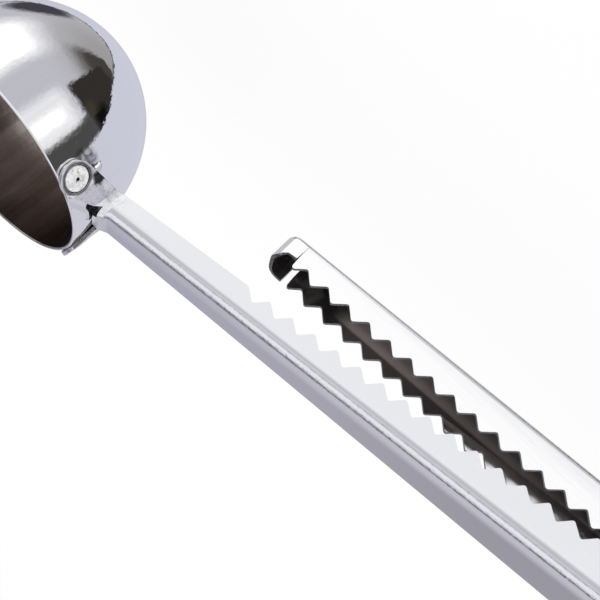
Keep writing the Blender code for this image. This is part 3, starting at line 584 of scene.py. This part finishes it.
class ScoopBowlSettings(bpy.types.PropertyGroup):
    """Sizes of the drawn bowl."""

    wall: bpy.props.FloatProperty(
        name="Wall", description="Sheet thickness of the bowl", default=0.6 * MM, unit="LENGTH"
    )
    straight: bpy.props.FloatProperty(
        name="Straight wall",
        description="Height of the wall below the rim",
        default=5.5 * MM,
        unit="LENGTH",
    )
    dome: bpy.props.FloatProperty(
        name="Dome depth", description="Depth below the straight wall", default=24.1 * MM, unit="LENGTH"
    )
    sides: bpy.props.IntProperty(
        name="Sides", description="Facets round the rim", default=192
    )


class ScoopClipSettings(bpy.types.PropertyGroup):
    """Sizes and colours of the bent strips, and sizes of the spring."""

    edge_round: bpy.props.FloatProperty(
        name="Edge rounding", description="Tumbled edge of the strip", default=0.09 * MM, unit="LENGTH"
    )
    wire: bpy.props.FloatProperty(
        name="Wire radius", description="Half the spring wire", default=0.45 * MM, unit="LENGTH"
    )
    coil: bpy.props.FloatProperty(
        name="Coil radius",
        description="Centre line radius of the coil",
        default=2.4 * MM,
        unit="LENGTH",
    )
    leg: bpy.props.FloatProperty(
        name="Leg length", description="Straight ends of the spring", default=15 * MM, unit="LENGTH"
    )
    coil_length: bpy.props.FloatProperty(
        name="Coil length",
        description="Coil along the rivet, wire centre to centre",
        default=5.0854 * MM,
        unit="LENGTH",
    )
    turns: bpy.props.IntProperty(
        name="Turns", description="Whole turns of the coil", default=3
    )
    handle_leg: bpy.props.FloatProperty(
        name="Handle leg",
        description="How far the handle's leg dips",
        default=math.radians(0.522),
        unit="ROTATION",
    )
    jaw_leg: bpy.props.FloatProperty(
        name="Jaw leg",
        description="How far the jaw's leg dips",
        default=math.radians(40.016),
        unit="ROTATION",
    )
    handle_colour: bpy.props.StringProperty(
        name="Handle colour", description="sRGB hex of the handle's polished strip", default="#E7E8EC"
    )
    jaw_colour: bpy.props.StringProperty(
        name="Jaw colour", description="sRGB hex of the jaw's polished strip", default="#FDFDFE"
    )


class ScoopStageSettings(bpy.types.PropertyGroup):
    """Camera, floor and lamp."""

    lens: bpy.props.FloatProperty(
        name="Lens", description="Focal length on a 36 mm sensor", default=82.38, unit="CAMERA"
    )
    place: bpy.props.FloatVectorProperty(
        name="Camera place",
        description="Where the camera stands",
        default=(34.303 * MM, 204.782 * MM, 112.155 * MM),
        unit="LENGTH",
    )
    azimuth: bpy.props.FloatProperty(
        name="Azimuth",
        description="Which way the camera looks, round Z from X",
        default=math.radians(-104.1055),
        unit="ROTATION",
    )
    elevation: bpy.props.FloatProperty(
        name="Elevation",
        description="How far the camera looks up",
        default=math.radians(-23.9931),
        unit="ROTATION",
    )
    roll: bpy.props.FloatProperty(
        name="Roll",
        description="How far the camera is turned about its own view",
        default=math.radians(-131.0748),
        unit="ROTATION",
    )
    floor_colour: bpy.props.StringProperty(
        name="Floor colour", description="sRGB hex of the floor", default="#F8F8F8"
    )
    floor_level: bpy.props.FloatProperty(
        name="Floor level",
        description="Below the open jaw's lowest point",
        default=-12.0 * MM,
        unit="LENGTH",
    )
    shadow: bpy.props.FloatProperty(
        name="Shadow", description="Share of the shadow that the camera sees", default=0.15
    )
    lamp_power: bpy.props.FloatProperty(
        name="Lamp power", description="Overhead softbox", default=1.2, unit="POWER"
    )


class SCOOP_OT_bowl(bpy.types.Operator):
    """Turn the smooth bowl with its rounded lip"""

    bl_idname = "scoop.bowl"
    bl_label = "Make the bowl"

    def execute(self, context):
        settings = context.scene.scoop_bowl
        radius = BOWL_R / MM
        wall = settings.wall / MM
        straight = settings.straight / MM
        dome = settings.dome / MM
        inner = radius - wall
        steps = 44
        points = []
        for k in range(steps + 1):
            t = math.pi / 2 * (1 - k / steps)
            points.append((radius * math.cos(t), -straight - dome * math.sin(t)))
        # Nearly half the wall, so that a hair of flat stays on the lip
        lip = wall * 0.45
        # A ring close under the lip keeps the lip's shading off the straight wall
        ring = -lip - 0.1
        points += [(radius, -straight * 0.66), (radius, -straight * 0.33), (radius, ring)]
        rounded_corner(points, (radius, 0), (radius, -1), (inner, 0), lip)
        rounded_corner(points, (inner, 0), (radius, 0), (inner, -1), lip)
        points += [(inner, ring), (inner, -straight * 0.33), (inner, -straight * 0.66)]
        for k in range(steps + 1):
            t = math.pi / 2 * k / steps
            points.append((inner * math.cos(t), -straight - (dome - wall) * math.sin(t)))
        # Both ends lie on the axis itself
        points[0] = (0, points[0][1])
        points[-1] = (0, points[-1][1])
        place = Matrix.Translation(BOWL_CENTRE)
        bowl = turned("bowl_drawn", points, settings.sides, drawn_bowl_steel(settings), place, 60)
        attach(bowl, "scoop")
        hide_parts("bowl")
        return {"FINISHED"}


def mark_faces(bm):
    """Material 1 for faces that look into their own channel, 2 for the sheet's cut edges."""
    walls = BVHTree.FromBMesh(bm)
    reach = 40 * MM
    for face in bm.faces:
        # From just over the face: out, then slanted to both sides
        start = face.calc_center_median() + face.normal * 0.05 * MM
        gap = walls.ray_cast(start, face.normal, reach)[3]
        slants = [(face.normal + Vector((0, side, 0))).normalized() for side in (-2, 2)]
        sides = [walls.ray_cast(start, slant, reach)[0] for slant in slants]
        # From just under the face: how deep the metal is
        behind = face.calc_center_median() - face.normal * 0.02 * MM
        depth = walls.ray_cast(behind, -face.normal, reach)[3]
        if (gap or 0) > FOLD_GAP or all(sides):
            face.material_index = 1
        elif (depth or 0) > SHEET_DEPTH:
            face.material_index = 2


def finished_strip(name, node, materials, rounding):
    """A copy of the node with merged faces, tumbled edges and its two finishes."""
    mesh = frame["nodes"][node].data.copy()
    mesh.name = name
    mesh.materials.clear()
    for material in materials:
        mesh.materials.append(material)
    bm = bmesh.new()
    bm.from_mesh(mesh)
    bmesh.ops.remove_doubles(bm, verts=bm.verts, dist=0.002 * MM)
    flat = math.radians(0.4)
    bmesh.ops.dissolve_limit(
        bm, angle_limit=flat, verts=bm.verts, edges=bm.edges, use_dissolve_boundaries=False
    )
    for face in bm.faces:
        face.smooth = True
        face.material_index = 0
    # The nose's wrap is pressed on to the side's end
    low, high = WRAP_END
    for vert in bm.verts:
        if node == "clip_jaw" and low < vert.co.x < high and abs(vert.co.y) > WRAP_BENDS:
            vert.co.x = SIDE_END
    bm.normal_update()
    mark_faces(bm)
    bm.to_mesh(mesh)
    bm.free()
    obj = bpy.data.objects.new(name, mesh)
    bpy.context.scene.collection.objects.link(obj)
    bevel = obj.modifiers.new("tumbled edges", "BEVEL")
    bevel.width = rounding
    bevel.segments = 2
    bevel.limit_method = "ANGLE"
    bevel.angle_limit = math.radians(32)
    weighted = obj.modifiers.new("even shading", "WEIGHTED_NORMAL")
    weighted.keep_sharp = True
    return obj


class SCOOP_OT_strips(bpy.types.Operator):
    """Finish the two toothed channels, the handle and the clip's jaw"""

    bl_idname = "scoop.strips"
    bl_label = "Make the handle and the jaw"

    def execute(self, context):
        settings = context.scene.scoop_clip
        inner = inner_strip_steel()
        cut = sheared_steel()
        rounding = settings.edge_round

        outer = strip_steel("handle_stainless_strip", settings.handle_colour, 0.0, HANDLE_LEAN)
        handle = finished_strip("handle_strip", "handle_channel", (outer, inner, cut), rounding)
        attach(handle, "scoop")
        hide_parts("handle_channel")

        outer = strip_steel("jaw_stainless_strip", settings.jaw_colour, 0.7, 0.0)
        jaw = finished_strip("jaw_strip", "clip_jaw", (outer, inner, cut), rounding)
        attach(jaw, "clip")
        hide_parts("clip_jaw")
        return {"FINISHED"}


class SCOOP_OT_welds(bpy.types.Operator):
    """Press the spot welds that hold the ears to the bowl"""

    bl_idname = "scoop.welds"
    bl_label = "Make the spot welds"

    def execute(self, context):
        # Radius and height over the foot in millimetres: a pillowed face with a small crater
        points = [(0, 0), (2.3, 0), (2.3, 0.52), (2.24, 0.64), (2.1, 0.71), (1.95, 0.76), (1.6, 0.8)]
        points += [(1.2, 0.82), (0.7, 0.82), (0.34, 0.8), (0.22, 0.56), (0.12, 0.36), (0, 0.34)]
        material = weld_steel()
        up = Vector((0, 0, 1))
        for node in ("weld_spot_a", "weld_spot_b"):
            place, out = weld_place(node, WELD_FOOT)
            matrix = Matrix((up.cross(out), up, out)).transposed().to_4x4()
            matrix.translation = place
            weld = turned(node + "_face", points, 56, material, matrix, 50)
            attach(weld, "scoop")
            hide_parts(node)
        return {"FINISHED"}


class SCOOP_OT_rivet(bpy.types.Operator):
    """Turn the rivet that the jaw swings on"""

    bl_idname = "scoop.rivet"
    bl_label = "Make the rivet"

    def execute(self, context):
        low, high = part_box("pivot_pin")
        half = (high.y - low.y) / 2 / MM
        head = (high.x - low.x) / 2 / MM
        shank = 1.3
        # One head from its top to the shank: share of its radius, and millimetres below its top
        dome = [(0, 0), (0.3, 0.02), (0.55, 0.1), (0.74, 0.25), (0.88, 0.42), (0.97, 0.62)]
        dome += [(1, 0.8), (1, 1.0), (shank / head, 1.0)]
        side = [(head * share, half - drop) for share, drop in dome]
        points = side + [(r, -y) for r, y in reversed(side)]
        matrix = Matrix.Translation((low + high) / 2) @ Matrix.Rotation(math.pi / 2, 4, "X")
        rivet = turned("rivet", points, 64, turned_steel(), matrix, 50)
        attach(rivet, "scoop")
        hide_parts("pivot_pin")
        return {"FINISHED"}


class SCOOP_OT_spring(bpy.types.Operator):
    """Wind the torsion spring round the rivet"""

    bl_idname = "scoop.spring"
    bl_label = "Make the spring"

    def execute(self, context):
        settings = context.scene.scoop_clip
        quarter = math.pi / 2
        values = {
            "Wire radius": settings.wire,
            "Coil radius": settings.coil,
            "Leg length": settings.leg,
            "Coil length": -settings.coil_length,
            "First angle": quarter - settings.handle_leg,
            "Last angle": (3 + 4 * settings.turns) * quarter - settings.jaw_leg,
            "Steps": TURN_STEPS * settings.turns,
            "Material": spring_steel(),
        }
        spring = grown("torsion_spring_wire", bpy.data.meshes.new("wire"), coil_tree(), values)
        spring.data.transform(Matrix.Translation(PIVOT) @ Matrix.Rotation(quarter, 4, "X"))
        spring.data.set_sharp_from_angle(angle=math.radians(50))
        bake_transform(spring)
        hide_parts("torsion_spring")
        return {"FINISHED"}


class SCOOP_OT_stage(bpy.types.Operator):
    """Set up the camera, the white floor and the studio's light"""

    bl_idname = "scoop.stage"
    bl_label = "Make the stage"

    def execute(self, context):
        settings = context.scene.scoop_stage
        make_camera(settings)
        make_floor(settings)
        make_lamp(settings)
        make_world()
        context.scene.view_settings.view_transform = "Standard"
        return {"FINISHED"}


def direction(azimuth, elevation):
    """Unit vector that points so many radians round Z from X, and up."""
    level = math.cos(elevation)
    return Vector((math.cos(azimuth) * level, math.sin(azimuth) * level, math.sin(elevation)))


def make_camera(settings):
    camera = bpy.data.objects.new("camera", bpy.data.cameras.new("camera"))
    bpy.context.scene.collection.objects.link(camera)
    camera.data.lens = settings.lens
    camera.data.sensor_width = 36
    camera.data.clip_start = 0.01
    aim = direction(settings.azimuth, settings.elevation).to_track_quat("-Z", "Y")
    turn = aim.to_matrix().to_4x4() @ Matrix.Rotation(settings.roll, 4, "Z")
    camera.matrix_world = Matrix.Translation(settings.place) @ turn
    bpy.context.scene.camera = camera


def make_floor(settings):
    """A plain white floor. Glossy rays pass it, and meet the studio round the scoop."""
    mesh = bpy.data.meshes.new("floor")
    half = 3.0
    level = settings.floor_level
    corners = [(-half, -half, level), (half, -half, level), (half, half, level), (-half, half, level)]
    mesh.from_pydata(corners, [], [(0, 1, 2, 3)])
    floor = bpy.data.objects.new("floor", mesh)
    bpy.context.scene.collection.objects.link(floor)
    material, tree, shader = new_surface("matt_white_paper", 0.9, 0.0)
    shader.inputs["Specular IOR Level"].default_value = 0.0
    feed(tree, shader.inputs["Base Color"], settings.floor_colour)
    # The camera sees it mostly white, with the rest of its weight for the shadow
    seen = add_node(tree, "ShaderNodeLightPath").outputs["Is Camera Ray"]
    share = add_node(tree, "ShaderNodeMath", seen, 1 - settings.shadow, operation="MULTIPLY")
    glow = add_node(tree, "ShaderNodeEmission", "#FFFFFF", 1.0)
    both = add_node(tree, "ShaderNodeMixShader", share, shader, glow)
    feed(tree, tree.nodes["Material Output"].inputs["Surface"], both)
    mesh.materials.append(material)
    floor.visible_glossy = False


def make_lamp(settings):
    """One softbox of about a metre, a metre overhead, for the soft shadow on the floor."""
    data = bpy.data.lights.new("overhead_softbox", "AREA")
    data.shape = "RECTANGLE"
    data.size = 1.2
    data.size_y = 1.0
    data.energy = settings.lamp_power
    lamp = bpy.data.objects.new("overhead_softbox", data)
    bpy.context.scene.collection.objects.link(lamp)
    lamp.location = (0.05, 0.1, 1.1)
    lamp.visible_glossy = False


def studio_panels(tree, azimuth, elevation, room):
    """The room with its panels, which are drawn over each other in turn."""
    # Azimuth from and to, elevation from and to, softness of both in degrees, colour, strength
    panels = (
        # The dark table below the camera, and its nearer part
        (-20, 116, -110, -63, 14, 11, "#46423F", 1.0),
        (6, 66, -80, -41, 2.5, 2.5, "#33302D", 1.0),
        # The dark room on the handle's side, black at its foot and brown beside that
        (8, 31, -45, 5, 2.5, 6, "#4C4B4A", 1.0),
        (6, 24, -58, -43.5, 5, 4, "#12100E", 1.0),
        (24, 40, -51, -43, 6, 4, "#403C30", 1.0),
        # The first softbox with its edge and its lamp
        (58, 70, -34, 8, 7, 7, "#F0F0F4", 1.0),
        (31, 61, -35, 8, 6, 7, "#F4F4F5", 1.0),
        (42, 54, -26, 0, 5, 6, "#FFFFFF", 1.25),
        # The second softbox and its lamp
        (110, 160, -46, 6, 13, 13, "#FFFFFF", 1.1),
        (114, 148, -36, 0, 12, 9, "#FFFFFF", 1.5),
        # The white cloth over both
        (55, 120, -16.5, 48, 9, 2, "#FFFFFF", 1.02),
    )
    for left, right, low, high, soft_across, soft_up, colour, strength in panels:
        across = band(tree, azimuth, left, right, soft_across)
        up = band(tree, elevation, low, high, soft_up)
        factor = add_node(tree, "ShaderNodeMath", across, up, operation="MULTIPLY")
        glow = (*(value * strength for value in linear(colour)), 1)
        room = add_node(tree, "ShaderNodeMix", factor, room, glow, **COLOUR)
    return room


def make_world():
    """White for the camera and the floor, and for glossy rays a white studio with soft panels.

    The scoop is a mirror, so its greys are the studio's. Behind it is a pale backdrop. On the
    camera's side are two softboxes, the dark room between them and the grey table below. Over
    it hangs a long overhead light.
    """
    world = bpy.data.worlds.new("white_studio")
    world.use_nodes = True
    bpy.context.scene.world = world
    tree = world.node_tree
    look = add_node(tree, "ShaderNodeTexCoord").outputs["Generated"]
    x, y, z = add_node(tree, "ShaderNodeSeparateXYZ", look).outputs
    azimuth = add_node(tree, "ShaderNodeMath", y, x, operation="ARCTAN2")
    azimuth = add_node(tree, "ShaderNodeMath", azimuth, operation="DEGREES")
    elevation = add_node(tree, "ShaderNodeMath", z, operation="ARCSINE")
    elevation = add_node(tree, "ShaderNodeMath", elevation, operation="DEGREES")
    # Angle from the backdrop's foot over the top to the camera's side
    back = add_node(tree, "ShaderNodeMath", y, -1, operation="MULTIPLY")
    over = add_node(tree, "ShaderNodeMath", z, back, operation="ARCTAN2")
    over = add_node(tree, "ShaderNodeMath", over, operation="DEGREES")

    room = toned(tree, elevation, -85, -35, "#A3A1A0", "#C3C3C9")
    room = toned(tree, elevation, 5, 60, room, "#B6B6BB")
    room = studio_panels(tree, azimuth, elevation, room)
    # A round dark screen behind the bowl, under the backdrop
    screen = tuple(direction(math.radians(-166), math.radians(-46)))
    screen = add_node(tree, "ShaderNodeVectorMath", look, screen, operation="DOT_PRODUCT")
    room = toned(tree, screen, 0.97, 0.992, room, "#45434A")

    # The backdrop ends along a bent line, with a thin dark edge
    line = add_node(tree, "ShaderNodeMapRange", x, -0.35, 0.35, -0.25, 0.0, **SMOOTH)
    line = add_node(tree, "ShaderNodeMath", x, 0.12, line, operation="MULTIPLY_ADD")
    behind = add_node(tree, "ShaderNodeMath", y, line, operation="SUBTRACT")
    upper = toned(tree, x, -0.3, 0.02, "#AEAEBB", "#D0CED6")
    backdrop = toned(tree, elevation, -60, 24, "#D0D2DE", upper)
    room = toned(tree, behind, 0.008, -0.008, room, backdrop)
    edge = band(tree, behind, -0.012, 0.012, 0.006)
    side = add_node(tree, "ShaderNodeMapRange", x, 0.3, 0.0, **SMOOTH)
    edge = add_node(tree, "ShaderNodeMath", edge, side, operation="MULTIPLY")
    room = add_node(tree, "ShaderNodeMix", edge, room, "#5A585C", **COLOUR)
    # The ceiling on the camera's side, the gap over the backdrop and the overhead light
    bands = ((132, 152, 14, "#C4C4C9"), (52, 70, 5, "#7D7C82"), (82, 120, 8, "#FBFBFD"))
    for start, stop, soft, colour in bands:
        part = band(tree, over, start, stop, soft)
        room = add_node(tree, "ShaderNodeMix", part, room, colour, **COLOUR)

    glossy = add_node(tree, "ShaderNodeLightPath").outputs["Is Glossy Ray"]
    shown = add_node(tree, "ShaderNodeMix", glossy, "#FFFFFF", room, **COLOUR)
    feed(tree, tree.nodes["Background"].inputs["Color"], shown)


class SCOOP_PT_panel(bpy.types.Panel):
    """Lists the scoop's makers in the sidebar"""

    bl_idname = "SCOOP_PT_panel"
    bl_label = "Coffee scoop"
    bl_space_type = "VIEW_3D"
    bl_region_type = "UI"
    bl_category = "Scoop"

    def draw(self, context):
        layout = self.layout
        for group in (context.scene.scoop_bowl, context.scene.scoop_clip, context.scene.scoop_stage):
            for key in group.bl_rna.properties.keys():
                if key not in ("rna_type", "name"):
                    layout.prop(group, key)
        for kind in OPERATORS:
            layout.operator(kind.bl_idname)


OPERATORS = (
    SCOOP_OT_bowl,
    SCOOP_OT_strips,
    SCOOP_OT_welds,
    SCOOP_OT_rivet,
    SCOOP_OT_spring,
    SCOOP_OT_stage,
)
SETTINGS = (ScoopBowlSettings, ScoopClipSettings, ScoopStageSettings)


def register():
    for kind in (*SETTINGS, *OPERATORS, SCOOP_PT_panel):
        bpy.utils.register_class(kind)
    bpy.types.Scene.scoop_bowl = bpy.props.PointerProperty(type=ScoopBowlSettings)
    bpy.types.Scene.scoop_clip = bpy.props.PointerProperty(type=ScoopClipSettings)
    bpy.types.Scene.scoop_stage = bpy.props.PointerProperty(type=ScoopStageSettings)


def unregister():
    del bpy.types.Scene.scoop_bowl
    del bpy.types.Scene.scoop_clip
    del bpy.types.Scene.scoop_stage
    for kind in reversed((*SETTINGS, *OPERATORS, SCOOP_PT_panel)):
        bpy.utils.unregister_class(kind)


def main():
    register()
    bpy.ops.scoop.bowl()
    bpy.ops.scoop.strips()
    bpy.ops.scoop.welds()
    bpy.ops.scoop.rivet()
    bpy.ops.scoop.spring()
    bpy.ops.scoop.stage()


if __name__ == "__main__":
    main()
